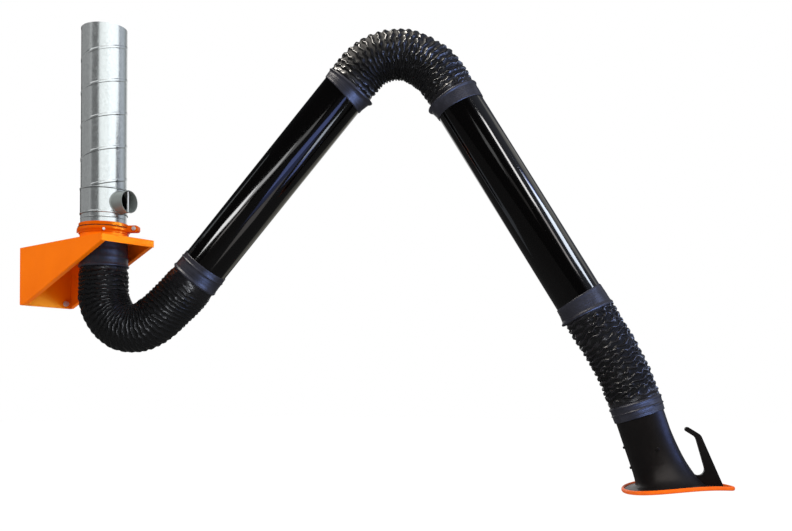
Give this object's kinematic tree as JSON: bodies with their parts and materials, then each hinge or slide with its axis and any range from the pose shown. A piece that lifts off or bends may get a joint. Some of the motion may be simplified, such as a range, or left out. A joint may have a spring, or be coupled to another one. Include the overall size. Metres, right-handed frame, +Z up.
{
  "type": "fume extraction arm",
  "caption": "Wall-mounted fume extraction arm with a console, a swivel collar under a duct, jointed tubes, ribbed hoses at base, elbow and wrist, and a flanged hood with a handle.",
  "frame": {"origin": "middle of the wall plate's back face", "axes": "+X out of the wall into the room, +Z up, +Y to the right when facing the wall"},
  "size_m": [2.1003, 1.17, 1.525],
  "materials": {
    "orange_paint": "semi-gloss powder coat",
    "galvanised": "bright galvanised sheet",
    "zinc": "zinc plated",
    "steel": "plain steel",
    "gloss_black": "high gloss",
    "hose": "satin, ribbed",
    "cuff": "satin",
    "hood_black": "satin",
    "trim_orange": "satin",
    "nylon": "matte",
    "seal_rubber": "matte"
  },
  "bodies": {
    "bracket": {"wall_plate": "orange_paint", "cheek_near": "orange_paint", "cheek_far": "orange_paint", "top_plate": "orange_paint", "wall_bolt_1": "zinc", "wall_bolt_2": "zinc", "wall_bolt_3": "zinc", "wall_bolt_4": "zinc", "console_neck": "orange_paint", "slide_ring": "nylon", "seal_ring": "seal_rubber", "duct_nipple": "galvanised", "swivel_collar": "orange_paint", "collar_bolt": "zinc", "collar_screw_1": "zinc", "collar_screw_2": "zinc", "branch_collar": "galvanised", "branch_spigot": "galvanised", "spiral_duct": "galvanised"},
    "swivel": {"swivel_tube": "steel", "cuff_base_top": "cuff", "shoulder_yoke": "steel", "shoulder_pin": "zinc", "shoulder_nut": "zinc", "shoulder_disc_far": "nylon", "shoulder_disc_near": "nylon", "balance_spring": "steel", "base_hose": "hose"},
    "lower_arm": {"lower_tube": "gloss_black", "cuff_base_arm": "cuff", "cuff_elbow_lower": "cuff", "shoulder_lever": "steel", "elbow_fork": "steel", "elbow_pin": "zinc", "elbow_nut": "zinc", "elbow_disc_far": "nylon", "elbow_disc_near": "nylon", "elbow_hose": "hose"},
    "upper_arm": {"upper_tube": "gloss_black", "cuff_elbow_upper": "cuff", "cuff_wrist_upper": "cuff", "elbow_tongue": "steel", "wrist_fork": "steel", "wrist_pin": "zinc", "wrist_nut": "zinc", "wrist_disc_far": "nylon", "wrist_disc_near": "nylon", "wrist_hose": "hose"},
    "wrist": {"cuff_wrist_hood": "cuff", "wrist_tongue": "steel", "spindle_nut": "zinc"},
    "hood": {"hood_shell": "hood_black", "edge_trim": "trim_orange", "hood_handle": "hood_black", "hood_strut": "steel", "hood_screw_1": "zinc", "hood_screw_2": "zinc"},
    "damper": {"damper_shaft": "zinc", "damper_blade": "steel"}
  },
  "joints": [
    {"name": "base_swivel", "type": "hinge", "parent": "bracket", "child": "swivel", "pos_m": [0.352, 0, 0.1], "axis": [0, 0, 1], "range_deg": [-120, 60]},
    {"name": "shoulder", "type": "hinge", "parent": "swivel", "child": "lower_arm", "pos_m": [0.41262, 0.035, -0.218], "axis": [0.5, -0.866, 0], "range_deg": [-50, 18], "deforming": ["base_hose", "balance_spring"]},
    {"name": "elbow", "type": "hinge", "parent": "lower_arm", "child": "upper_arm", "pos_m": [1.22495, 0.504, 0.692], "axis": [0.5, -0.866, 0], "range_deg": [-35, 60], "deforming": ["elbow_hose"]},
    {"name": "wrist_tilt", "type": "hinge", "parent": "upper_arm", "child": "wrist", "pos_m": [1.81857, 0.84672, -0.34821], "axis": [0.5, -0.866, 0], "range_deg": [-45, 45], "deforming": ["wrist_hose"]},
    {"name": "hood_spin", "type": "hinge", "parent": "wrist", "child": "hood", "pos_m": [1.81857, 0.84672, -0.34821], "axis": [0.2647, 0.1528, -0.9521], "continuous": true},
    {"name": "damper_turn", "type": "hinge", "parent": "hood", "child": "damper", "pos_m": [1.89386, 0.89019, -0.57972], "axis": [0.5, -0.866, 0], "range_deg": [0, 90]}
  ]
}
